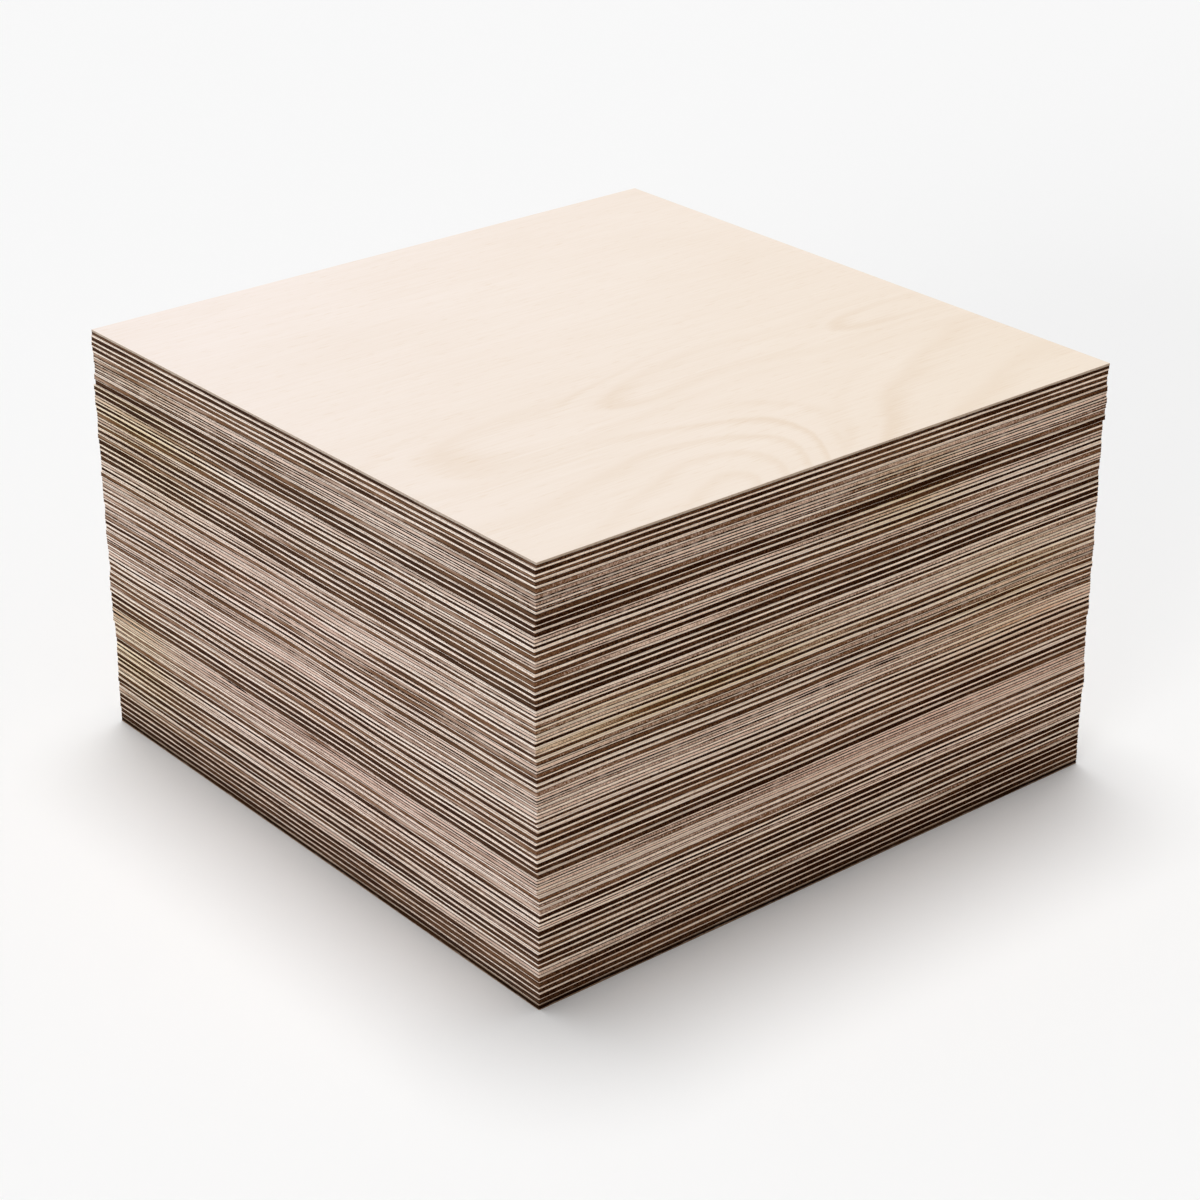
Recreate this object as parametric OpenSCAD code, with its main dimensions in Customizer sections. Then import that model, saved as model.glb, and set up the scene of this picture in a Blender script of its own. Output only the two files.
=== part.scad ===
// Square stack of thin plywood sheets lying flat on a level floor.
// The sheets were laid down a few at a time and squared up by hand, so each lift of sheets sits a
// little off the one below it, and each sheet in a lift is shifted and turned a little of its own.
// Origin: centre of the bottom sheet's underside. +X and +Y run along the sheets' sides, +Z is up.

/* [Sheet] */
// Side of the square sheet
sheet_side = 400; // [200:1:600]
// Thickness of one sheet, all plies together
sheet_t = 3.2; // [2:0.1:12]
// Width of the small flat that sanding leaves along the edges of both faces
arris = 0.2; // [0.05:0.05:0.6]

/* [Stack] */
// Sheets in the stack
sheet_count = 75; // [10:1:180]
// Sheets laid down together as one lift
sheets_per_lift = 5; // [3:1:10]
// Air left between two sheets that don't lie quite flat
air_gap = 0.12; // [0.04:0.02:0.5]

/* [Squaring up] */
// Farthest that a lift sits off the bottom sheet, along each side
lift_shift = 0.5; // [0:0.1:3]
// Farthest that one sheet sits off its lift, along each side
sheet_shift = 0.3; // [0:0.05:2]
// Largest turn of one sheet about the vertical, in degrees
sheet_turn = 0.06; // [0:0.01:0.5]
// Number that picks one chance way of squaring up
lay_seed = 54; // [1:1:99]

/* [Hidden] */
// Height from one sheet's underside to the next one's
pitch = sheet_t + air_gap;
lift_count = ceil(sheet_count / sheets_per_lift);

// First and last sheet of a lift, counted from 0 at the floor
function first_sheet(lift) = lift * sheets_per_lift;
function last_sheet(lift) = min(first_sheet(lift) + sheets_per_lift, sheet_count) - 1;

// Names such as sheets_01_to_05, counted from 1 at the floor
function two_digits(n) = str(n < 10 ? "0" : "", n);
function lift_name(lift) =
    str("sheets_", two_digits(first_sheet(lift) + 1), "_to_", two_digits(last_sheet(lift) + 1));

// Chance amounts up to a limit either way, none for the first: the bottom lift and sheet lie true
function chances(limit, count, draw) =
    concat([0], rands(-limit, limit, count - 1, lay_seed + 100 * draw));
lift_dx = chances(lift_shift, lift_count, 0);
lift_dy = chances(lift_shift, lift_count, 1);
sheet_dx = chances(sheet_shift, sheet_count, 2);
sheet_dy = chances(sheet_shift, sheet_count, 3);
sheet_angle = chances(sheet_turn, sheet_count, 4);

// Centre of a sheet's underside
function sheet_place(i) =
    let (lift = floor(i / sheets_per_lift))
    [lift_dx[lift] + sheet_dx[i], lift_dy[lift] + sheet_dy[i], i * pitch];

// Section across the sheet, with its four arrises eased
module sheet_section() {
    half = sheet_side / 2;
    flat = half - arris;
    shoulder = sheet_t - arris;
    polygon([
        [-flat, 0], [flat, 0], [half, arris], [half, shoulder],
        [flat, sheet_t], [-flat, sheet_t], [-half, shoulder], [-half, arris]
    ]);
}

// The section drawn out along one side of the sheet
module sheet_run() {
    rotate([90, 0, 0])
        linear_extrude(height = sheet_side, center = true)
            sheet_section();
}

// One sheet: the two runs crossed, so that all eight long edges are eased
module sheet() {
    intersection() {
        sheet_run();
        rotate([0, 0, 90]) sheet_run();
    }
}

// The sheets that were laid down together, each resting clear of the next
module sheets_of_lift(lift) {
    color("#cbb398")
        for (i = [first_sheet(lift) : last_sheet(lift)])
            translate(sheet_place(i))
                rotate([0, 0, sheet_angle[i]])
                    sheet();
}

for (lift = [0 : lift_count - 1]) {
    sheets_of_lift(lift);
}
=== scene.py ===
"""Looks of a square stack of thin plywood sheets, laid out as a Blender add-on and run as a script.

Every sheet is drawn where its solid lies: two pale face veneers, a core ply that is dark on most sheets
and pale on some, and the glue lines between them, with the wavy plies and chips of real sawn edges.
"""

import math
from collections import namedtuple

import bpy
import numpy as np
from bpy.props import FloatProperty, FloatVectorProperty, IntProperty, PointerProperty
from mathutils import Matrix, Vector


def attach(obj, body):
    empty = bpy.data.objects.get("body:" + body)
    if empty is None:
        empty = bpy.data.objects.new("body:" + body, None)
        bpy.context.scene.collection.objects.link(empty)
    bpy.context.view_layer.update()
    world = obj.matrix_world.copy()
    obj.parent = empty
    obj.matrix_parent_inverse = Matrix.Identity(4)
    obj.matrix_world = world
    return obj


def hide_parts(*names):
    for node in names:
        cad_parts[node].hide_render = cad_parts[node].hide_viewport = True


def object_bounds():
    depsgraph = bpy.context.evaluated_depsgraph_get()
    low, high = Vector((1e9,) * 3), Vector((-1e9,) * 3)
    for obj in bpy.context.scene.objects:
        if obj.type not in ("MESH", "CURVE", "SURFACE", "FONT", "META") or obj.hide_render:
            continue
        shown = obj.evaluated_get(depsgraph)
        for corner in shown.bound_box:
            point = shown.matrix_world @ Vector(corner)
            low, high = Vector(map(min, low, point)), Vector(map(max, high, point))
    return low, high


bl_info = {
    "name": "Plywood Stack",
    "version": (1, 0, 0),
    "blender": (4, 5, 0),
    "location": "View3D > Sidebar > Plywood",
    "description": "Draws a stack of plywood sheets over its solids, with a plain studio stage",
    "category": "Add Mesh",
}

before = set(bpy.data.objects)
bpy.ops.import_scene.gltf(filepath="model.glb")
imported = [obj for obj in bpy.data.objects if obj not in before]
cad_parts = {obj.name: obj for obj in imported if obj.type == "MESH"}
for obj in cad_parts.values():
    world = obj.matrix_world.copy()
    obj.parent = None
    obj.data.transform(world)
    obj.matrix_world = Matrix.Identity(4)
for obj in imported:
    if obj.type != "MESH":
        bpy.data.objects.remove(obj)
CAD_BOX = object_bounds()

MM = 0.001
BODY = "root"
SEED = 7

# Sheet numbers stay below this, so no two seeds give two sheets the same chance numbers
SEED_STEP = 1000

# Sides of a sheet in the order of its outline: the one at -Y first, then on round anticlockwise
SIDE_AT_NEG_Y, SIDE_AT_POS_X, SIDE_AT_POS_Y, SIDE_AT_NEG_X = range(4)

# Finishes in the order of the material slots
FACE, EDGE, GLUE, CORE = range(4)

# Finish of each band of a side, from the underside up: arris, veneer, glue, core, core, and back
BANDS = (EDGE, EDGE, GLUE, CORE, CORE, GLUE, EDGE, EDGE)

# First of the lines between the bands that bounds the upper veneer
UPPER_VENEER_LINE = 6

# Runs of sheets with a pale core, first and last, counted from the floor
PALE_CORES = (
    (7, 7), (15, 15), (19, 19), (21, 23), (34, 37), (42, 42), (47, 48), (51, 51), (59, 59), (63, 63),
    (68, 70),
)

# Sheets with a core between dark and pale
BROWN_CORES = (11, 18, 20, 27, 28, 30, 38, 41, 43, 45, 49, 56, 60, 67, 71, 73)

# Lowest and highest tone of each kind of core, from 0 for the darkest wood to 1 for the palest
PALE_TONES = (0.66, 1.0)
BROWN_TONES = (0.3, 0.55)
DARK_TONES = (0.0, 0.12)

# How far a core's tone drifts along a sheet, and how much farther it does in the palest core
CORE_DRIFT = 0.18
PALE_DRIFT = 0.14

# Sheets with thinner and thicker face veneers than most, and how far off in shares of the veneer spread
THIN_VENEERS = (2, 3, 4, 5, 6, 14, 18, 24, 26, 28, 38, 55, 60, 64, 66)
THICK_VENEERS = (16, 33, 39)
THIN_OFF, THICK_OFF = -0.8, 0.8

# Lowest and highest tone of a veneer's edge, and how far it drifts along a sheet
EDGE_TONES = (0.64, 1.2)
EDGE_DRIFT = 0.15

# Sheets near the floor, whose edges get painted shade of the floor's contact shadow, and what that leaves
# of their tone
SHADED_LOW_SHEETS = range(1, 7)
LOW_SHADE_SHARE = 0.7

# Shares of a grey tint on the top sheet's upper rim, which darkens it, and on the lowest sheets by their
# numbers, where it is painted shade of the floor's contact shadow
RIM_GREYING = 0.72
FLOOR_SHADE = {1: 1.0, 2: 0.3}

# Least and most of the usual glue line that a sheet has, and how much more soaks into the palest core
GLUE_SPREAD = (0.6, 1.4)
PALE_SOAK = 2.2

# Least and most that a sheet takes on of the rosy and straw patches
PATCH_SPREAD = (0.3, 1.0)

# Waves round a sheet's outline, from the fewest to just under the second number, of what strays along it:
# the plies, the fibres that the saw tore, the saw itself, and the tones of veneer and core
PLY_WAVES = (3, 20)
TORN_WAVES = (20, 120)
SAW_WAVES = (4, 40)
EDGE_TONE_WAVES = (3, 14)
CORE_TONE_WAVES = (2, 11)

# Shares that torn fibres add to a veneer's wander and to the core's recess, and the depth of the core's
# middle as a share of the recess
TORN_VENEER = 0.25
TORN_CORE = 0.4
CORE_HOLLOW = 1.2

# Slow waves in which the sheets rise and dip together: share of the bow, lengths along X and Y, and then
# in turns the drift from the floor to the top and the start
BowWave = namedtuple("BowWave", "share x_length y_length drift start")
BOW_WAVES = (
    BowWave(0.55, 290 * MM, math.inf, 0.9, 0),
    BowWave(0.45, math.inf, 340 * MM, -0.7, 0.2),
    BowWave(0.25, 130 * MM, 150 * MM, 1.3, 0),
)

# Places where the upper veneer broke out under the saw: sheet, side, middle and length along the side
Chip = namedtuple("Chip", "sheet side middle length")
CHIPS = (
    Chip(36, SIDE_AT_POS_X, -8 * MM, 46 * MM),
    Chip(36, SIDE_AT_POS_X, 38 * MM, 22 * MM),
    Chip(35, SIDE_AT_POS_X, -60 * MM, 70 * MM),
    Chip(52, SIDE_AT_NEG_Y, 128 * MM, 18 * MM),
    Chip(23, SIDE_AT_NEG_Y, -70 * MM, 28 * MM),
    Chip(44, SIDE_AT_POS_Y, 40 * MM, 40 * MM),
    Chip(18, SIDE_AT_NEG_X, -90 * MM, 36 * MM),
    Chip(61, SIDE_AT_NEG_X, 60 * MM, 24 * MM),
)

# Soft patches where the wood of the edges turns rosy or straw-coloured: side, then shares of the side
# and of the stack's height for the middle, and half sizes as the same shares
Patch = namedtuple("Patch", "side along height half_length half_height")
ROSY = (
    Patch(SIDE_AT_NEG_Y, 0.45, 0.52, 0.40, 0.16),
    Patch(SIDE_AT_NEG_Y, 0.60, 0.28, 0.45, 0.16),
    Patch(SIDE_AT_POS_X, 0.72, 0.30, 0.38, 0.13),
    Patch(SIDE_AT_POS_X, 0.88, 0.44, 0.20, 0.10),
)
STRAW = (
    Patch(SIDE_AT_NEG_Y, 0.12, 0.80, 0.16, 0.14),
    Patch(SIDE_AT_NEG_Y, 0.05, 0.22, 0.14, 0.14),
    Patch(SIDE_AT_POS_X, 0.24, 0.60, 0.30, 0.05),
    Patch(SIDE_AT_POS_X, 0.83, 0.52, 0.16, 0.12),
    Patch(SIDE_AT_POS_X, 0.62, 0.88, 0.10, 0.08),
)

# Tongues of the face veneer's cathedral figure: tip of the outer ring, way that it opens along Y, its half
# width near the tip, then shares in each metre past the tip that it widens by, leans to +X and fades, the
# rings inside it, and how many tongues it lies within
Tongue = namedtuple("Tongue", "x y way half_width widening lean fading rings within")
TONGUES = (
    Tongue(76 * MM, -188 * MM, 1, 30 * MM, 0.8, -0.04, 30, 0.8, 0),
    Tongue(68 * MM, -67 * MM, 1, 20 * MM, 1.2, -0.03, 30, 0.8, 1),
    Tongue(63 * MM, 113 * MM, 1, 14 * MM, 1.4, 0, 30, 0.8, 2),
    Tongue(148 * MM, 14 * MM, -1, 38 * MM, 17, 0.6, 18, 4, 0),
    Tongue(215 * MM, 10 * MM, 1, 36 * MM, 14.5, 0, 10, 2, 0),
)

# Length of a tongue's rounded tip, in half widths
TIP_LENGTH = 2.4

# Wavers of the figure's lines, two across the grain and one along it: how far each goes, and the lengths
# along Y and X of one radian
Waver = namedtuple("Waver", "reach y_radian x_radian")
CROSS_WAVERS = (Waver(3 * MM, 21 * MM, math.inf), Waver(4 * MM, 43 * MM, 80 * MM))
LONG_WAVER = Waver(7 * MM, math.inf, 17 * MM)

# Bake map of a lift: the share with the edges' strips, then the squares of the faces above them
LIFT_STRIPS = 0.88
FACE_LEFT, FACE_BOTTOM, FACE_PITCH, FACE_SIZE = 0.005, 0.9, 0.098, 0.09

# Bake map of the top sheet: the share with the edge's strips, then the places of the underside and the
# upper face, as left, bottom, width and height
TOP_STRIPS = 0.14
TOP_PLACES = ((0.9, 0.5, 0.09, 0.09), (0.005, 0.15, 0.84, 0.84))

# How far from the origin the lights hang, for the viewport alone: a sun's light doesn't depend on it
LIGHT_DISTANCE = 2.0

# A sheet as its solid gives it: its widest corners, the corners of its flat faces, and their heights
Sheet = namedtuple("Sheet", "number corners flat_corners low high")

# Points round a sheet: side, share along it, share of the whole turn, place, way in, and which are corners
Outline = namedtuple("Outline", "side along around plan way_in corners")


def linear(code):
    """Linear colour of an sRGB hex code."""
    shares = [int(code[i:i + 2], 16) / 255 for i in (1, 3, 5)]
    return [c / 12.92 if c <= 0.04045 else ((c + 0.055) / 1.055) ** 2.4 for c in shares]


def colour(name, description, code):
    """A colour that the user can change."""
    return FloatVectorProperty(
        name=name, description=description, subtype="COLOR", size=3, min=0, max=1, default=linear(code)
    )


def length(name, description, default):
    """A size in metres that the user can change."""
    return FloatProperty(
        name=name, description=description, default=default, min=0, unit="LENGTH", precision=5
    )


class PlywoodSheetSettings(bpy.types.PropertyGroup):
    """Sizes of one sheet's plies and of the small faults of its edges."""

    veneer: length("Face veneer", "Thickness of each face veneer", 0.72 * MM)
    top_veneer: length("Top veneer", "Thickness of the face veneer that shows on top", 1.5 * MM)
    veneer_spread: length("Veneer spread", "How far a sheet's veneers are off that thickness", 0.33 * MM)
    glue: length("Glue line", "Height of the glue line between two plies", 0.20 * MM)
    recess: length("Core recess", "How far the sawn core lies behind the veneers", 0.10 * MM)
    wander: length("Ply wander", "How far a ply's edge strays along the side", 0.19 * MM)
    saw_waver: length("Saw waver", "How far the sawn edge strays from a straight line", 0.05 * MM)
    bow: length("Bow", "How far the sheets rise and dip together at half height", 0.7 * MM)
    corner: length("Corner wear", "How far the sheet's corners are worn back", 0.15 * MM)
    chip_depth: length("Chip depth", "How deep a broken veneer edge goes", 0.8 * MM)
    segments: IntProperty(
        name="Side segments", description="Lengths that each side is divided into", default=80, min=20
    )
    face_cells: IntProperty(
        name="Face cells", description="Cells across a face that lies between sheets", default=10, min=2
    )
    top_segments: IntProperty(
        name="Top side segments", description="Lengths of each side of the top sheet", default=160, min=20
    )


class PlywoodFinishSettings(bpy.types.PropertyGroup):
    """Colours of the wood and the glue."""

    birch: colour("Birch", "Sanded birch face veneer", "#F7ECE6")
    birch_grain: colour("Birch grain", "Late wood and fibres of the face veneer", "#DCC3A6")
    # Painted shade: the darker, yellower birch that the face turns to towards its +X +Y corner
    birch_shaded_yellower: colour("Birch honey", "Face veneer where it is yellower", "#EEDFCC")
    edge_pale: colour("Pale edge", "Sawn edge of a fresh face veneer", "#FFF2E6")
    edge_dull: colour("Dull edge", "Sawn edge of a duller face veneer", "#CFAF99")
    core_dark: colour("Dark core", "Heartwood core ply at a sawn side", "#3E2A1F")
    core_mid: colour("Brown core", "Core ply between dark and pale", "#7E5D45")
    core_pale: colour("Pale core", "Sapwood core ply at a sawn side", "#ECD3C3")
    core_end: colour("Dark core ends", "Heartwood core ply where its fibres end at a side", "#271105")
    core_mid_end: colour("Brown core ends", "Brown core ply where its fibres end at a side", "#77533A")
    glue: colour("Glue", "Cured phenolic glue", "#231208")
    # Painted shade: the warmer, slightly darker colour of the shaded +X side, put on both ±X sides of the
    # edges
    shaded_side_warmth: colour("Warm wood", "What the sides where the core's fibres end leave of the colour", "#FFF6EC")
    rosy: colour("Rosy wood", "What a rosy patch leaves of the wood's colour", "#FDF2F1")
    straw: colour("Straw wood", "What a straw patch leaves of the wood's colour", "#F5F1D3")
    # A grey that darkens the top sheet's upper rim, and paints the floor's contact shade on the lowest
    # sheets
    greying_and_shade: colour("Dusty wood", "What hands and dust leave of the wood's colour", "#94897C")


class PlywoodStageSettings(bpy.types.PropertyGroup):
    """Camera, lights and floor."""

    floor: colour("Floor", "Matt paper floor", "#F8F8F8")
    floor_size: length("Floor size", "Side of the floor", 40.0)
    lens: FloatProperty(name="Lens", description="Focal length in millimetres", default=87.5, min=10)
    azimuth: FloatProperty(
        name="Azimuth", description="Where the camera stands", default=math.radians(50.32), subtype="ANGLE"
    )
    elevation: FloatProperty(
        name="Elevation", description="How high it looks from", default=math.radians(25.92), subtype="ANGLE"
    )
    distance: length("Distance", "From the camera to the point that it looks at", 1.680)
    aim_height: length("Aim height", "Height of the point that the camera looks at", 0.0928)
    aim_right: length("Aim right", "How far right of the middle that point lies", 0.0044)
    fill: FloatProperty(name="Fill", description="Level of the light from all round", default=0.24, min=0)
    overhead: FloatProperty(
        name="Overhead", description="Strength of the overhead light", default=2.25, min=0
    )
    overhead_spread: FloatProperty(
        name="Overhead spread", description="Angle that the overhead light fills in the sky",
        default=math.radians(33), subtype="ANGLE",
    )
    side: FloatProperty(
        name="Side", description="Strength of the low light on the sides", default=1.54, min=0
    )
    side_spread: FloatProperty(
        name="Side spread", description="Angle that the low light fills", default=math.radians(30),
        subtype="ANGLE",
    )


def solids():
    """The sheets as the solids give them, from the floor up, with the node that each is in."""
    same_level = 0.02 * MM
    found = []
    for node in sorted(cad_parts):
        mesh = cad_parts[node].data
        points = np.empty(3 * len(mesh.vertices))
        mesh.vertices.foreach_get("co", points)
        points = points.reshape(-1, 3)
        heights = np.sort(points[:, 2])
        levels = heights[np.append(True, np.diff(heights) > same_level)]
        for low, shoulder, _, high in levels.reshape(-1, 4):
            outer, flat = (square_at(points, level, same_level) for level in (shoulder, low))
            found.append((node, Sheet(len(found) + 1, outer, flat, low, high)))
    return found


def square_at(points, level, tolerance):
    """The four corners of the points at one level, anticlockwise from the one at -X and -Y."""
    plan = points[abs(points[:, 2] - level) < tolerance, :2]
    ways = ((-1, -1), (1, -1), (1, 1), (-1, 1))
    return np.array([plan[np.argmax(plan @ way)] for way in ways])


def hashed(seed, number):
    """Chance numbers of one sheet, the same at every run."""
    return np.random.default_rng(SEED_STEP * seed + number)


def ripple(chance, around, fewest, most, terms=10):
    """Smooth chance waviness round an outline, about -1 to 1, with that many waves in a whole turn."""
    waves = chance.integers(fewest, most, terms)
    phases = chance.uniform(0, math.tau, terms)
    total = np.sin(math.tau * np.outer(around, waves) + phases).sum(axis=1)
    return total / math.sqrt(2 * terms)


def bowing(plan, share, bow):
    """How far the sheets at this share of the stack's height rise or dip, none at the floor and the top."""
    x, y = plan.T
    total = np.zeros_like(x)
    for wave in BOW_WAVES:
        turns = x / wave.x_length + y / wave.y_length + wave.drift * share + wave.start
        total += wave.share * np.sin(math.tau * turns)
    return bow * math.sin(math.pi * share) * total


def side_stops(segments, side):
    """Shares along a side where the outline has points, with one close to each corner."""
    near_corner = 0.5 * MM / side
    return np.concatenate([[0, near_corner], np.arange(1, segments) / segments, [1 - near_corner, 1]])


def core_tone(number):
    """Tone of a sheet's core, from 0 for the darkest to 1 for the palest."""
    chance = hashed(SEED, number)
    if any(first <= number <= last for first, last in PALE_CORES):
        return chance.uniform(*PALE_TONES)
    if number in BROWN_CORES:
        return chance.uniform(*BROWN_TONES)
    return chance.uniform(*DARK_TONES)


def patched(patches, side, along, height):
    """How far each point lies in a patch, from 0 to 1. A patch shows on the opposite side too."""
    share = np.zeros_like(along)
    for patch in patches:
        on_side = (side % 2) == (patch.side % 2)
        reach = ((along - patch.along) / patch.half_length) ** 2 + (
            (height - patch.height) / patch.half_height
        ) ** 2
        share = np.maximum(share, on_side * np.exp(-reach))
    return share


def wavered(waver, x, y):
    """How far a waver takes the figure's lines off at each point."""
    return waver.reach * np.sin(y / waver.y_radian + x / waver.x_radian)


def cathedral(plan):
    """Growth rings of the face veneer's figure: a count, whole at each ring, and how plainly they show."""
    x, y = plan.T
    x = x + sum(wavered(waver, x, y) for waver in CROSS_WAVERS)
    y = y + wavered(LONG_WAVER, x, y)
    sharpness = 6.0
    rings_outside = 3.0
    total = np.zeros_like(x)
    plain = np.zeros_like(x)
    for tongue in TONGUES:
        past_tip = tongue.way * (y - tongue.y)
        opened = np.maximum(0, past_tip)
        across = (x - tongue.x - tongue.lean * opened) / (1 + tongue.widening * opened)
        tip = TIP_LENGTH * tongue.half_width
        before = np.minimum(0, past_tip - tip) / tip
        beyond = np.hypot(across / tongue.half_width, before) - 1
        count = 1 - tongue.within + beyond * np.where(beyond < 0, tongue.rings, rings_outside)
        weight = np.exp(-sharpness * count)
        total += weight
        plain += weight / (1 + tongue.fading * opened)
    return -np.log(total) / sharpness, plain / total


class PlyMesh:
    """Points and faces of one or more sheets, joined, with what their finishes need."""

    TRAITS = ("core_tone", "edge_tone", "rosy", "straw", "greying_and_shade", "rings", "plain_rings")

    def __init__(self):
        self.points = []
        self.traits = {name: [] for name in self.TRAITS}
        self.faces = []
        self.finishes = []
        self.bake = []
        self.count = 0

    def add_points(self, points, **traits):
        """Adds points and returns the number of the first one."""
        first = self.count
        self.points.append(points)
        for name in self.TRAITS:
            self.traits[name].append(np.broadcast_to(traits.get(name, 0.0), len(points)))
        self.count += len(points)
        return first

    def add_face(self, face, finish, places):
        """Adds one face, with the place of each of its corners on the bake map."""
        self.faces.append([int(i) for i in face])
        self.finishes.append(finish)
        self.bake.extend(places)

    def add_grid(self, numbers, finish, across, up):
        """Adds the quads of a grid of point numbers, with bake places from across and up."""
        for row in range(len(numbers) - 1):
            for col in range(len(numbers[row]) - 1):
                cells = ((row, col), (row, col + 1), (row + 1, col + 1), (row + 1, col))
                self.add_face(
                    [numbers[r][c] for r, c in cells], finish, [(across[c], up[r]) for r, c in cells]
                )

    def make(self, name, materials):
        """Makes the object."""
        mesh = bpy.data.meshes.new(name)
        mesh.from_pydata(np.concatenate(self.points).tolist(), [], self.faces)
        for material in materials:
            mesh.materials.append(material)
        mesh.polygons.foreach_set("material_index", self.finishes)
        for trait, values in self.traits.items():
            attribute = mesh.attributes.new(trait, "FLOAT", "POINT")
            attribute.data.foreach_set("value", np.concatenate(values).astype(np.float32))
        bake = mesh.uv_layers.new(name="OFBake")
        bake.data.foreach_set("uv", np.array(self.bake, np.float32).ravel())
        mesh.update()
        if mesh.validate():
            raise RuntimeError(f"{name} has faces that can't be drawn")
        piece = bpy.data.objects.new(name, mesh)
        bpy.context.scene.collection.objects.link(piece)
        return piece


def trace_outline(sheet, stops, side_length):
    """The sheet's widest outline, anticlockwise, with the way in from it."""
    columns = len(stops) - 1
    starts = sheet.corners
    ends = np.roll(starts, -1, axis=0)
    runs = (ends - starts) / side_length
    inward = np.stack([-runs[:, 1], runs[:, 0]], axis=1)
    side = np.repeat(np.arange(4), columns)
    along = np.tile(stops[:-1], 4)
    plan = starts[side] + (ends - starts)[side] * along[:, None]
    way_in = inward[side]
    corners = np.arange(4) * columns
    way_in[corners] = inward + np.roll(inward, 1, axis=0)
    return Outline(side, along, (side + along) / 4, plan, way_in, corners)


def lay_sheet(ply, sheet, settings, strips, face_places, dense_top=False):
    """Adds one sheet to the mesh: its edge as bands of plies, then its two faces."""
    chance = hashed(SEED + 1, sheet.number)
    thickness = sheet.high - sheet.low
    share = sheet.low / (CAD_BOX[1].z - thickness)
    side_length = np.linalg.norm(sheet.corners[1] - sheet.corners[0])
    arris = np.linalg.norm(sheet.corners[0] - sheet.flat_corners[0]) / math.sqrt(2)
    stops = side_stops(settings.top_segments if dense_top else settings.segments, side_length)
    columns = len(stops) - 1
    outline = trace_outline(sheet, stops, side_length)
    side, along, around = outline.side, outline.along, outline.around

    # Heights and depths of the lines between the bands. Glue soaks farther into pale cores
    tone = core_tone(sheet.number)
    low_glue, high_glue = settings.glue / 2 * chance.uniform(*GLUE_SPREAD, 2) * (1 + PALE_SOAK * tone)
    low_veneer, high_veneer = (veneer_height(sheet.number, chance, around, settings) for _ in range(2))
    if dense_top:
        high_veneer = high_veneer + settings.top_veneer - settings.veneer
    low_ply = np.maximum(arris + low_glue, low_veneer)
    high_ply = thickness - np.maximum(arris + high_glue, high_veneer)
    saw = settings.saw_waver * ripple(chance, around, *SAW_WAVES)
    saw[outline.corners] += settings.corner
    core = settings.recess * (1 + TORN_CORE * ripple(chance, around, *TORN_WAVES))
    chip = chip_depths(sheet.number, side, (along - 0.5) * side_length, settings.chip_depth)
    heights = (0, arris, low_ply - low_glue, low_ply + low_glue, (low_ply + high_ply) / 2,
               high_ply - high_glue, high_ply + high_glue, thickness - arris, thickness)
    depths = (arris, 0, 0, core, core * CORE_HOLLOW, core, chip, chip, chip + arris)

    # Tones and patches of the edge, which run on round the corners
    mottle = chance.uniform(*PATCH_SPREAD)
    low_tone, high_tone = (edge_tone(sheet.number, chance, around) for _ in range(2))
    drift = (CORE_DRIFT + PALE_DRIFT * tone) * ripple(chance, around, *CORE_TONE_WAVES)
    traits = {
        "core_tone": np.clip(tone + drift, 0, 1),
        "rosy": mottle * patched(ROSY, side, along, share),
        "straw": mottle * patched(STRAW, side, along, share),
    }
    bow = bowing(outline.plan, share, settings.bow)
    lines = []
    for number, (height, depth) in enumerate(zip(heights, depths)):
        plan = outline.plan + outline.way_in * (depth + saw)[:, None]
        level = np.broadcast_to(sheet.low + height, len(plan)) + bow
        is_upper = number >= UPPER_VENEER_LINE
        traits["edge_tone"] = high_tone if is_upper else low_tone
        on_rim = dense_top and is_upper
        # The grey tint darkens the top rim, and paints shade on the lowest sheets near the floor
        traits["greying_and_shade"] = RIM_GREYING if on_rim else FLOOR_SHADE.get(sheet.number, 0.0)
        lines.append(ply.add_points(np.column_stack([plan, level]), **traits))

    # Bands of the edge, one strip of the bake map for each side
    profile = np.linspace(0, 1, len(heights))
    for number, (left, bottom, width, tall) in enumerate(strips):
        ring = (number * columns + np.arange(columns + 1)) % (4 * columns)
        for band, finish in enumerate(BANDS):
            ply.add_grid(
                [lines[band] + ring, lines[band + 1] + ring], finish,
                left + width * stops, bottom + tall * profile[band:band + 2],
            )

    # Underside, then the upper face
    for line, is_top, place in ((lines[0], False, face_places[0]), (lines[-1], True, face_places[1])):
        level = sheet.high if is_top else sheet.low
        if is_top and dense_top:
            lay_dense_face(ply, sheet, line, stops, level, place)
        else:
            lay_hidden_face(ply, sheet, line, stops, level, place, is_top, share, settings)


def edge_tone(number, chance, around):
    """Tone of a veneer's edge round the outline, from 0 for dull to 1 for fresh, cut down by painted shade
    on the lowest sheets.
    """
    # Painted shade: the lowest sheets' edges are darkened where the floor shades them
    lit_share = LOW_SHADE_SHARE if number in SHADED_LOW_SHEETS else 1.0
    tone = chance.uniform(*EDGE_TONES) + EDGE_DRIFT * ripple(chance, around, *EDGE_TONE_WAVES)
    return np.clip(lit_share * tone, 0, 1)


def veneer_height(number, chance, around, settings):
    """Thickness of a face veneer round the outline: a little different on every sheet, and nowhere even."""
    stray = ripple(chance, around, *PLY_WAVES) + TORN_VENEER * ripple(chance, around, *TORN_WAVES)
    off = chance.uniform(-1, 1)
    if number in THIN_VENEERS:
        off = THIN_OFF
    elif number in THICK_VENEERS:
        off = THICK_OFF
    return settings.veneer + settings.veneer_spread * off + settings.wander * stray


def chip_depths(number, side, along, deepest):
    """How far the upper veneer is broken back at each point of a sheet's outline."""
    depth = np.zeros_like(along)
    for chip in CHIPS:
        if chip.sheet == number:
            reach = 1 - (2 * (along - chip.middle) / chip.length) ** 2
            depth = np.maximum(depth, (side == chip.side) * deepest * np.sqrt(np.clip(reach, 0, 1)))
    return depth


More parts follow.
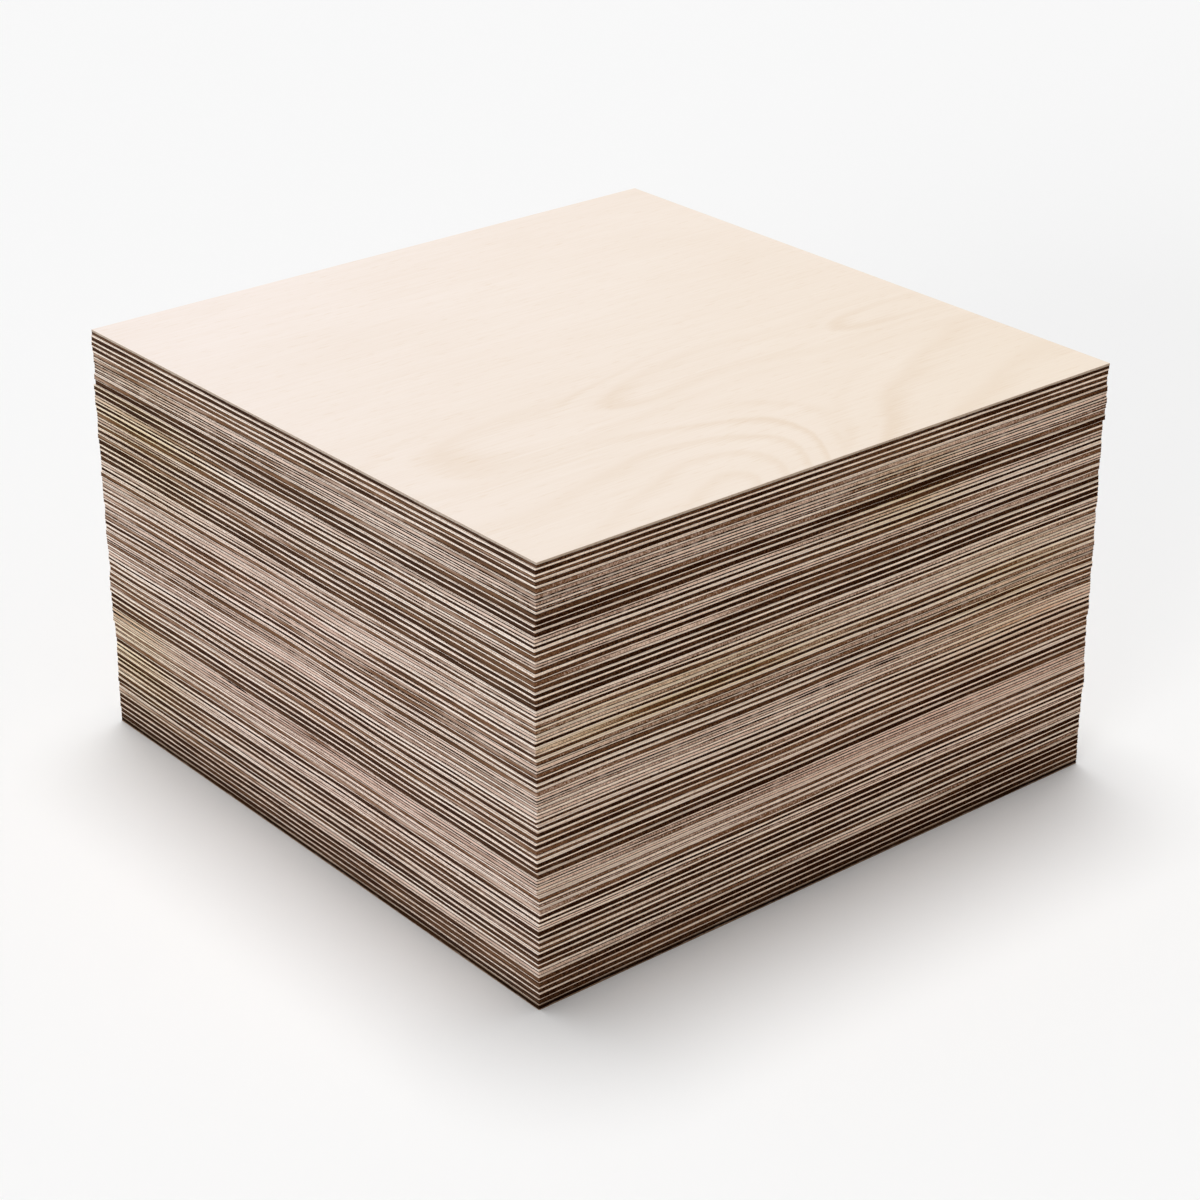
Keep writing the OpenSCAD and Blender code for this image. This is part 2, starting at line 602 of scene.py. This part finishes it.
def blend_corners(corners, across, up):
    """Points inside a square, from shares across it and up it."""
    across, up = across[:, None], up[:, None]
    low = corners[0] + (corners[1] - corners[0]) * across
    high = corners[3] + (corners[2] - corners[3]) * across
    return low + (high - low) * up


def rim_number(line, columns, row, col, last):
    """Number of the outline point at this row and column of a grid whose rim is the outline."""
    if row == 0:
        return line + col
    if col == last:
        return line + columns + row
    if row == last:
        return line + 2 * columns + (last - col)
    return line + (3 * columns + (last - row)) % (4 * columns)


def lay_dense_face(ply, sheet, line, stops, level, place):
    """Adds the upper face of the top sheet as a fine grid that carries the veneer's figure."""
    last = len(stops) - 1
    rows, cols = np.meshgrid(np.arange(last + 1), np.arange(last + 1), indexing="ij")
    inside = (rows > 0) & (rows < last) & (cols > 0) & (cols < last)
    plan = blend_corners(sheet.flat_corners, stops[cols[inside]], stops[rows[inside]])
    rings, plain = cathedral(plan)
    points = np.column_stack([plan, np.full(len(plan), level)])
    first = ply.add_points(points, rings=rings, plain_rings=plain)
    numbers = np.empty((last + 1, last + 1), int)
    numbers[inside] = first + np.arange(inside.sum())
    for row, col in np.argwhere(~inside):
        numbers[row, col] = rim_number(line, last, row, col, last)
    left, bottom, width, tall = place
    ply.add_grid(numbers, FACE, left + width * stops, bottom + tall * stops)


def lay_hidden_face(ply, sheet, line, stops, level, place, is_top, share, settings):
    """Adds a face that lies between sheets: a coarse grid, joined to the outline by a rim of wide faces."""
    columns = len(stops) - 1
    cells = settings.face_cells
    rim = 0.03
    marks = np.round(np.linspace(0, columns, cells + 1)).astype(int)
    shares = rim + (1 - 2 * rim) * stops[marks]
    rows, cols = np.meshgrid(np.arange(cells + 1), np.arange(cells + 1), indexing="ij")
    plan = blend_corners(sheet.flat_corners, shares[cols.ravel()], shares[rows.ravel()])
    heights = level + bowing(plan, share, settings.bow)
    first = ply.add_points(np.column_stack([plan, heights]))
    numbers = first + np.arange((cells + 1) ** 2).reshape(cells + 1, cells + 1)
    left, bottom, width, tall = place
    across, up = left + width * shares, bottom + tall * shares
    order = slice(None) if is_top else slice(None, None, -1)
    ply.add_grid(numbers[order], FACE, across, up[order])
    ring = [(0, i) for i in range(cells)] + [(i, cells) for i in range(cells)]
    ring += [(cells, cells - i) for i in range(cells)] + [(cells - i, 0) for i in range(cells)]
    for number, (row, col) in enumerate(ring):
        side, cell = divmod(number, cells)
        next_row, next_col = ring[(number + 1) % len(ring)]
        marked = np.arange(marks[cell], marks[cell + 1] + 1)
        outer = line + (side * columns + marked) % (4 * columns)
        spots = [rim_spot(side, stops[c]) for c in marked]
        places = [(left + width * u, bottom + tall * v) for u, v in spots]
        face = [*outer, numbers[next_row, next_col], numbers[row, col]]
        places += [(across[next_col], up[next_row]), (across[col], up[row])]
        step = 1 if is_top else -1
        ply.add_face(face[::step], FACE, places[::step])


def rim_spot(side, share):
    """Place on a unit square of a share along one of its sides."""
    return ((share, 0), (1, share), (1 - share, 1), (0, 1 - share))[side]


def bake_strips(first, count, band):
    """Places of a sheet's four edge strips, out of that many strips in the lowest part of the bake map."""
    gutter = 0.004
    pitch = band / count
    return [(gutter, gutter + pitch * (first + k), 1 - 2 * gutter, pitch - gutter) for k in range(4)]


def add_node(tree, kind, settings=(), inputs=()):
    """Adds a node, sets its own settings, and fills or links its inputs."""
    node = tree.nodes.new(kind)
    for name, value in dict(settings).items():
        setattr(node, name, value)
    for name, value in dict(inputs).items():
        if isinstance(value, bpy.types.NodeSocket):
            tree.links.new(value, node.inputs[name])
        else:
            node.inputs[name].default_value = value
    return node


# Inputs and output of a Mix node that mixes colours
MIX_SHARE, MIX_A, MIX_B, MIXED = 0, 6, 7, 2


def new_material(name):
    """An empty material with its node tree, shader and output."""
    material = bpy.data.materials.new(name)
    material.use_nodes = True
    tree = material.node_tree
    tree.nodes.clear()
    shader = add_node(tree, "ShaderNodeBsdfPrincipled")
    add_node(tree, "ShaderNodeOutputMaterial", inputs={"Surface": shader.outputs["BSDF"]})
    return material, tree, shader


def per_metre(*sizes_mm):
    """Texture scale in each direction for features of these sizes in millimetres."""
    return [1 / (size * MM) for size in sizes_mm]


def opaque(rgb):
    """The colour with full cover."""
    return (*rgb, 1)


def growth_rings(tree, fibres, clouds):
    """Adds the growth rings of the cathedral figure, and returns how plainly their late wood shows."""
    rings = add_node(tree, "ShaderNodeAttribute", {"attribute_name": "rings"})
    plain = add_node(tree, "ShaderNodeAttribute", {"attribute_name": "plain_rings"})
    # Clouds and fibres carry the rings off their even curves
    stray = add_node(
        tree, "ShaderNodeMapRange",
        inputs={"Value": clouds, "To Min": -0.35, "To Max": 0.35},
    )
    feather = add_node(
        tree, "ShaderNodeMapRange",
        inputs={"Value": fibres, "To Min": -0.25, "To Max": 0.25},
    )
    strayed = add_node(
        tree, "ShaderNodeMath", {"operation": "ADD"}, {0: rings.outputs["Fac"], 1: stray.outputs[0]}
    )
    ring_count = add_node(
        tree, "ShaderNodeMath", {"operation": "ADD"}, {0: strayed.outputs[0], 1: feather.outputs[0]}
    )
    part_ring = add_node(
        tree, "ShaderNodeMath", {"operation": "FRACT"}, {0: ring_count.outputs[0]}
    )
    # A slow rise of late wood at each ring, and a quicker fall
    late_wood = add_node(
        tree, "ShaderNodeMapRange", {"interpolation_type": "SMOOTHSTEP"},
        {"Value": part_ring.outputs[0], "From Min": 0.4, "From Max": 0.8},
    )
    early_wood = add_node(
        tree, "ShaderNodeMapRange", {"interpolation_type": "SMOOTHSTEP"},
        {"Value": part_ring.outputs[0], "From Min": 0.8, "From Max": 1.0, "To Min": 1, "To Max": 0},
    )
    soft_ring = add_node(
        tree, "ShaderNodeMath", {"operation": "MULTIPLY"},
        {0: late_wood.outputs[0], 1: early_wood.outputs[0]},
    )
    # Rings show inside the tongues and fade out beyond them
    near_tongue = add_node(
        tree, "ShaderNodeMapRange",
        inputs={
            "Value": rings.outputs["Fac"], "From Min": 1, "From Max": 2, "To Min": 0.4, "To Max": 0
        },
    )
    faded = add_node(
        tree, "ShaderNodeMath", {"operation": "MULTIPLY"},
        {0: plain.outputs["Fac"], 1: near_tongue.outputs[0]},
    )
    ring_line = add_node(
        tree, "ShaderNodeMath", {"operation": "MULTIPLY"}, {0: soft_ring.outputs[0], 1: faded.outputs[0]}
    )
    return ring_line.outputs[0]


def birch_veneer(finish):
    """Rotary-cut birch veneer, sanded: close pale wood with silky fibres along Y, faint ring figure, and
    painted shade that darkens and yellows it towards one corner.
    """
    material, tree, shader = new_material("sanded_birch_veneer")
    place = add_node(tree, "ShaderNodeTexCoord").outputs["Object"]

    # Fibres are far finer than a pixel, so they are drawn about 1 mm wide
    along_fibres = add_node(
        tree, "ShaderNodeVectorMath", {"operation": "MULTIPLY"}, {0: place, 1: per_metre(1.1, 45, 1.1)}
    )
    fibres = add_node(
        tree, "ShaderNodeTexNoise", inputs={"Vector": along_fibres.outputs[0], "Scale": 1, "Detail": 3}
    )
    # Short flecks of pores and rays
    fleck_place = add_node(
        tree, "ShaderNodeVectorMath", {"operation": "MULTIPLY"}, {0: place, 1: per_metre(1.4, 11, 1.4)}
    )
    flecks = add_node(
        tree, "ShaderNodeTexNoise", inputs={"Vector": fleck_place.outputs[0], "Scale": 1, "Detail": 1}
    )
    fleck = add_node(
        tree, "ShaderNodeMapRange",
        inputs={"Value": flecks.outputs["Fac"], "From Min": 0.62, "From Max": 0.75, "To Max": 0.18},
    )
    # Broad silky clouds
    cloud_place = add_node(
        tree, "ShaderNodeVectorMath", {"operation": "MULTIPLY"}, {0: place, 1: per_metre(45, 120, 45)}
    )
    clouds = add_node(
        tree, "ShaderNodeTexNoise", inputs={"Vector": cloud_place.outputs[0], "Scale": 1, "Detail": 2}
    )
    ring_line = growth_rings(tree, fibres.outputs["Fac"], clouds.outputs["Fac"])
    fibre_share = add_node(
        tree, "ShaderNodeMapRange",
        inputs={"Value": fibres.outputs["Fac"], "From Min": 0.3, "From Max": 0.75, "To Max": 0.16},
    )
    mottle = add_node(
        tree, "ShaderNodeMapRange",
        inputs={"Value": clouds.outputs["Fac"], "From Min": 0.35, "From Max": 0.65, "To Max": 0.08},
    )
    grain = add_node(
        tree, "ShaderNodeMath", {"operation": "ADD"}, {0: fibre_share.outputs[0], 1: fleck.outputs[0]}
    )
    mottled = add_node(
        tree, "ShaderNodeMath", {"operation": "ADD"}, {0: grain.outputs[0], 1: mottle.outputs[0]}
    )
    figure = add_node(
        tree, "ShaderNodeMath", {"operation": "ADD", "use_clamp": True},
        {0: mottled.outputs[0], 1: ring_line},
    )
    # Painted shade: the sheet is a little darker and yellower towards the +X +Y corner
    drift = add_node(
        tree, "ShaderNodeVectorMath", {"operation": "DOT_PRODUCT"}, {0: place, 1: (1, 1, 0)}
    )
    far_corner_shade = add_node(
        tree, "ShaderNodeMapRange",
        inputs={"Value": drift.outputs["Value"], "From Min": -0.4, "From Max": 0.5},
    )
    wood = add_node(
        tree, "ShaderNodeMix", {"data_type": "RGBA"},
        {MIX_SHARE: far_corner_shade.outputs[0], MIX_A: opaque(finish.birch), MIX_B: opaque(finish.birch_shaded_yellower)},
    )
    face = add_node(
        tree, "ShaderNodeMix", {"data_type": "RGBA"},
        {MIX_SHARE: figure.outputs[0], MIX_A: wood.outputs[MIXED], MIX_B: opaque(finish.birch_grain)},
    )
    bump = add_node(
        tree, "ShaderNodeBump", inputs={"Height": grain.outputs[0], "Strength": 0.25, "Distance": 0.05 * MM}
    )
    tree.links.new(face.outputs[MIXED], shader.inputs["Base Color"])
    tree.links.new(bump.outputs["Normal"], shader.inputs["Normal"])
    shader.inputs["Roughness"].default_value = 0.58
    shader.inputs["IOR"].default_value = 1.53
    return material


def birch_edge(finish):
    """Sawn edge of the birch veneer: dull and dry, pale cream to beige, ticked by the saw's teeth."""
    material, tree, shader = new_material("sawn_birch_edge")
    place = add_node(tree, "ShaderNodeTexCoord").outputs["Object"]
    # Tooth marks stand across the sheet, about 0.8 mm apart on either pair of sides
    mark_place = add_node(
        tree, "ShaderNodeVectorMath", {"operation": "MULTIPLY"}, {0: place, 1: per_metre(0.8, 0.8, 3)}
    )
    marks = add_node(
        tree, "ShaderNodeTexNoise", inputs={"Vector": mark_place.outputs[0], "Scale": 1, "Detail": 2}
    )
    tick = add_node(
        tree, "ShaderNodeMapRange",
        inputs={
            "Value": marks.outputs["Fac"], "From Min": 0.3, "From Max": 0.7, "To Min": -0.4, "To Max": 0.4
        },
    )
    tone = add_node(tree, "ShaderNodeAttribute", {"attribute_name": "edge_tone"})
    share = add_node(
        tree, "ShaderNodeMath", {"operation": "ADD", "use_clamp": True},
        {0: tone.outputs["Fac"], 1: tick.outputs[0]},
    )
    wood = add_node(
        tree, "ShaderNodeMix", {"data_type": "RGBA"},
        {MIX_SHARE: share.outputs[0], MIX_A: opaque(finish.edge_dull), MIX_B: opaque(finish.edge_pale)},
    )
    tinted = add_tint(tree, wood.outputs[MIXED], finish)
    tree.links.new(tinted, shader.inputs["Base Color"])
    shader.inputs["Roughness"].default_value = 0.8
    shader.inputs["IOR"].default_value = 1.53
    # Open pores swallow most of the gloss
    shader.inputs["Specular IOR Level"].default_value = 0.15
    return material


def facing_x(tree):
    """How far a surface faces along X, from 0 to 1: the core's fibres end at the sides that do."""
    normal = add_node(tree, "ShaderNodeNewGeometry").outputs["Normal"]
    split = add_node(tree, "ShaderNodeSeparateXYZ", inputs={"Vector": normal})
    return add_node(tree, "ShaderNodeMath", {"operation": "ABSOLUTE"}, {0: split.outputs["X"]}).outputs[0]


def add_tint(tree, plain, finish):
    """Adds the painted shade of the warmer ±X sides, the patches, and the grey tint of the top rim and of
    the lowest sheets' painted floor shade to a colour, and returns the tinted one.
    """
    # Painted shade: the ±X sides are tinted warmer and a little darker
    tints = [(facing_x(tree), finish.shaded_side_warmth)]
    for trait in ("rosy", "straw", "greying_and_shade"):
        share = add_node(tree, "ShaderNodeAttribute", {"attribute_name": trait}).outputs["Fac"]
        tints.append((share, getattr(finish, trait)))
    for share, tint in tints:
        mixed = add_node(
            tree, "ShaderNodeMix", {"data_type": "RGBA", "blend_type": "MULTIPLY"},
            {MIX_SHARE: share, MIX_A: plain, MIX_B: opaque(tint)},
        )
        plain = mixed.outputs[MIXED]
    return plain


def hardwood_core(finish):
    """Crossed hardwood core ply, sawn: streaks along X where it is cut lengthwise, dark pores at ends."""
    material, tree, shader = new_material("sawn_hardwood_core")
    place = add_node(tree, "ShaderNodeTexCoord").outputs["Object"]
    # Pores are drawn 0.9 mm wide, about three times their real width, to show at all
    along_fibres = add_node(
        tree, "ShaderNodeVectorMath", {"operation": "MULTIPLY"}, {0: place, 1: per_metre(30, 0.9, 0.9)}
    )
    fibres = add_node(
        tree, "ShaderNodeTexNoise", inputs={"Vector": along_fibres.outputs[0], "Scale": 1, "Detail": 3}
    )
    tone = add_node(tree, "ShaderNodeAttribute", {"attribute_name": "core_tone"})
    streak = add_node(
        tree, "ShaderNodeMapRange",
        inputs={
            "Value": fibres.outputs["Fac"], "From Min": 0.3, "From Max": 0.7,
            "To Min": -0.22, "To Max": 0.22,
        },
    )
    share = add_node(
        tree, "ShaderNodeMath", {"operation": "ADD", "use_clamp": True},
        {0: tone.outputs["Fac"], 1: streak.outputs[0]},
    )
    # At the ends of its fibres the core drinks in light
    at_ends = facing_x(tree)
    dark = add_node(
        tree, "ShaderNodeMix", {"data_type": "RGBA"},
        {MIX_SHARE: at_ends, MIX_A: opaque(finish.core_dark), MIX_B: opaque(finish.core_end)},
    )
    mid = add_node(
        tree, "ShaderNodeMix", {"data_type": "RGBA"},
        {MIX_SHARE: at_ends, MIX_A: opaque(finish.core_mid), MIX_B: opaque(finish.core_mid_end)},
    )
    to_mid = add_node(tree, "ShaderNodeMapRange", inputs={"Value": share.outputs[0], "From Max": 0.5})
    to_pale = add_node(tree, "ShaderNodeMapRange", inputs={"Value": share.outputs[0], "From Min": 0.5})
    brown = add_node(
        tree, "ShaderNodeMix", {"data_type": "RGBA"},
        {MIX_SHARE: to_mid.outputs[0], MIX_A: dark.outputs[MIXED], MIX_B: mid.outputs[MIXED]},
    )
    wood = add_node(
        tree, "ShaderNodeMix", {"data_type": "RGBA"},
        {MIX_SHARE: to_pale.outputs[0], MIX_A: brown.outputs[MIXED], MIX_B: opaque(finish.core_pale)},
    )
    tinted = add_tint(tree, wood.outputs[MIXED], finish)
    bump = add_node(
        tree, "ShaderNodeBump",
        inputs={"Height": fibres.outputs["Fac"], "Strength": 0.4, "Distance": 0.12 * MM},
    )
    tree.links.new(tinted, shader.inputs["Base Color"])
    tree.links.new(bump.outputs["Normal"], shader.inputs["Normal"])
    shader.inputs["Roughness"].default_value = 0.85
    shader.inputs["IOR"].default_value = 1.53
    # Open pores swallow the gloss
    shader.inputs["Specular IOR Level"].default_value = 0
    return material


def phenolic_glue(finish):
    """Cured phenolic glue line, sawn: a hard dark brown resin, blotched where it soaked into the wood."""
    material, tree, shader = new_material("cured_phenolic_glue")
    place = add_node(tree, "ShaderNodeTexCoord").outputs["Object"]
    blots = add_node(
        tree, "ShaderNodeTexNoise", inputs={"Vector": place, "Scale": per_metre(6)[0], "Detail": 2}
    )
    spread = add_node(
        tree, "ShaderNodeMapRange",
        inputs={"Value": blots.outputs["Fac"], "From Min": 0.5, "From Max": 0.8, "To Max": 0.4},
    )
    mixed = add_node(
        tree, "ShaderNodeMix", {"data_type": "RGBA"},
        {MIX_SHARE: spread.outputs[0], MIX_A: opaque(finish.glue), MIX_B: opaque(finish.core_pale)},
    )
    tree.links.new(mixed.outputs[MIXED], shader.inputs["Base Color"])
    shader.inputs["Roughness"].default_value = 0.6
    shader.inputs["IOR"].default_value = 1.6
    # The saw left it as open as the wood beside it
    shader.inputs["Specular IOR Level"].default_value = 0
    return material


def finishes(context):
    """The four materials of a sheet in the order of the slots, made once."""
    names = ("sanded_birch_veneer", "sawn_birch_edge", "cured_phenolic_glue", "sawn_hardwood_core")
    if names[0] not in bpy.data.materials:
        finish = context.scene.plywood_finish
        for make in (birch_veneer, birch_edge, phenolic_glue, hardwood_core):
            make(finish)
    return [bpy.data.materials[name] for name in names]


def settle(piece, node):
    """Puts a piece on the stack's body in the place of its solid."""
    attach(piece, BODY)
    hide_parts(node)


class PLYWOOD_OT_lay_sheets(bpy.types.Operator):
    """Lay every sheet but the top one, joined by the lifts that they were laid in"""

    bl_idname = "plywood.lay_sheets"
    bl_label = "Lay Sheets"

    def execute(self, context):
        settings = context.scene.plywood_sheet
        sheets = solids()
        if not sheets:
            raise RuntimeError("the frame holds no sheets")
        for node in sorted(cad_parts):
            lift = [sheet for name, sheet in sheets[:-1] if name == node]
            ply = PlyMesh()
            for k, sheet in enumerate(lift):
                strips = bake_strips(4 * k, 4 * len(lift), LIFT_STRIPS)
                places = [
                    (FACE_LEFT + (2 * k + face) * FACE_PITCH, FACE_BOTTOM, FACE_SIZE, FACE_SIZE)
                    for face in range(2)
                ]
                lay_sheet(ply, sheet, settings, strips, places)
            name = f"plywood_sheets_{lift[0].number:02d}_to_{lift[-1].number:02d}"
            settle(ply.make(name, finishes(context)), node)
        return {"FINISHED"}


class PLYWOOD_OT_lay_top_sheet(bpy.types.Operator):
    """Lay the top sheet, whose face shows the veneer's figure"""

    bl_idname = "plywood.lay_top_sheet"
    bl_label = "Lay Top Sheet"

    def execute(self, context):
        settings = context.scene.plywood_sheet
        node, sheet = solids()[-1]
        ply = PlyMesh()
        lay_sheet(ply, sheet, settings, bake_strips(0, 4, TOP_STRIPS), TOP_PLACES, dense_top=True)
        settle(ply.make("plywood_top_sheet", finishes(context)), node)
        return {"FINISHED"}


class PLYWOOD_OT_set_stage(bpy.types.Operator):
    """Set up the floor, the soft light and the camera"""

    bl_idname = "plywood.set_stage"
    bl_label = "Set Stage"

    def execute(self, context):
        stage = context.scene.plywood_stage
        lay_floor(stage)
        hang_lights(stage)
        light_world(context.scene, stage)
        place_camera(context.scene, stage)
        context.scene.view_settings.view_transform = "Standard"
        return {"FINISHED"}


def lay_floor(stage):
    """A matt paper floor, pale enough to be the background too."""
    half = stage.floor_size / 2
    mesh = bpy.data.meshes.new("paper_floor")
    corners = [(-half, -half, 0), (half, -half, 0), (half, half, 0), (-half, half, 0)]
    mesh.from_pydata(corners, [], [(0, 1, 2, 3)])
    material, _, shader = new_material("matt_white_paper")
    shader.inputs["Base Color"].default_value = opaque(stage.floor)
    shader.inputs["Roughness"].default_value = 0.9
    shader.inputs["Specular IOR Level"].default_value = 0.1
    mesh.materials.append(material)
    floor = bpy.data.objects.new("paper_floor", mesh)
    bpy.context.scene.collection.objects.link(floor)


def hang_lights(stage):
    """A broad overhead light that leans to the back left, and a low one that opens up the nearer sides."""
    lean_left, lean_back, rise = (math.tan(math.radians(angle)) for angle in (10, 5.5, 6))
    from_overhead = Vector((-lean_left, lean_back, 1))
    from_side = Vector((0.33, -0.94, rise))
    for name, strength, spread, way in (
        ("overhead_light", stage.overhead, stage.overhead_spread, from_overhead),
        ("low_light", stage.side, stage.side_spread, from_side),
    ):
        lamp = bpy.data.lights.new(name, "SUN")
        lamp.energy = strength
        lamp.angle = spread
        light = bpy.data.objects.new(name, lamp)
        light.location = LIGHT_DISTANCE * way
        light.rotation_mode = "QUATERNION"
        light.rotation_quaternion = (-way).to_track_quat("-Z", "Y")
        bpy.context.scene.collection.objects.link(light)


def light_world(scene, stage):
    """Even light from all round, and plain white where the floor ends."""
    world = bpy.data.worlds.new("white_studio")
    world.use_nodes = True
    tree = world.node_tree
    tree.nodes.clear()
    path = add_node(tree, "ShaderNodeLightPath")
    glossy = add_node(
        tree, "ShaderNodeMath", {"operation": "MAXIMUM"},
        {0: path.outputs["Is Glossy Ray"], 1: path.outputs["Is Transmission Ray"]},
    )
    seen = add_node(
        tree, "ShaderNodeMath", {"operation": "MAXIMUM"},
        {0: path.outputs["Is Camera Ray"], 1: glossy.outputs[0]},
    )
    strength = add_node(
        tree, "ShaderNodeMapRange", inputs={"Value": seen.outputs[0], "To Min": stage.fill, "To Max": 1}
    )
    light = add_node(
        tree, "ShaderNodeBackground", inputs={"Color": (1, 1, 1, 1), "Strength": strength.outputs[0]}
    )
    add_node(tree, "ShaderNodeOutputWorld", inputs={"Surface": light.outputs[0]})
    scene.world = world


def place_camera(scene, stage):
    """A camera at the corner of the stack, looking a little down on it."""
    azimuth, elevation = stage.azimuth, stage.elevation
    right = Vector((math.cos(azimuth), math.sin(azimuth), 0))
    level_back = Vector((math.sin(azimuth), -math.cos(azimuth), 0))
    back = level_back * math.cos(elevation) + Vector((0, 0, math.sin(elevation)))
    aim = right * stage.aim_right + Vector((0, 0, stage.aim_height))
    lens = bpy.data.cameras.new("corner_view")
    lens.lens = stage.lens
    camera = bpy.data.objects.new("corner_view", lens)
    camera.location = aim + back * stage.distance
    camera.rotation_mode = "QUATERNION"
    camera.rotation_quaternion = (-back).to_track_quat("-Z", "Y")
    scene.collection.objects.link(camera)
    scene.camera = camera


class PLYWOOD_PT_stack(bpy.types.Panel):
    """Lists the steps of the stack and its settings"""

    bl_idname = "PLYWOOD_PT_stack"
    bl_label = "Plywood Stack"
    bl_space_type = "VIEW_3D"
    bl_region_type = "UI"
    bl_category = "Plywood"

    def draw(self, context):
        for step in STEPS:
            self.layout.operator(step.bl_idname)
        for group in SETTINGS:
            box = self.layout.box()
            owner = getattr(context.scene, group)
            for name in owner.bl_rna.properties.keys():
                if name not in ("rna_type", "name"):
                    box.prop(owner, name)


STEPS = (PLYWOOD_OT_lay_sheets, PLYWOOD_OT_lay_top_sheet, PLYWOOD_OT_set_stage)
SETTINGS = {
    "plywood_sheet": PlywoodSheetSettings,
    "plywood_finish": PlywoodFinishSettings,
    "plywood_stage": PlywoodStageSettings,
}


def register():
    for group, kind in SETTINGS.items():
        bpy.utils.register_class(kind)
        setattr(bpy.types.Scene, group, PointerProperty(type=kind))
    for kind in (*STEPS, PLYWOOD_PT_stack):
        bpy.utils.register_class(kind)


def unregister():
    for kind in (PLYWOOD_PT_stack, *reversed(STEPS)):
        bpy.utils.unregister_class(kind)
    for group, kind in reversed(SETTINGS.items()):
        delattr(bpy.types.Scene, group)
        bpy.utils.unregister_class(kind)


def main():
    """Registers the add-on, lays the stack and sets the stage."""
    register()
    bpy.ops.plywood.lay_sheets()
    bpy.ops.plywood.lay_top_sheet()
    bpy.ops.plywood.set_stage()


if __name__ == "__main__":
    main()
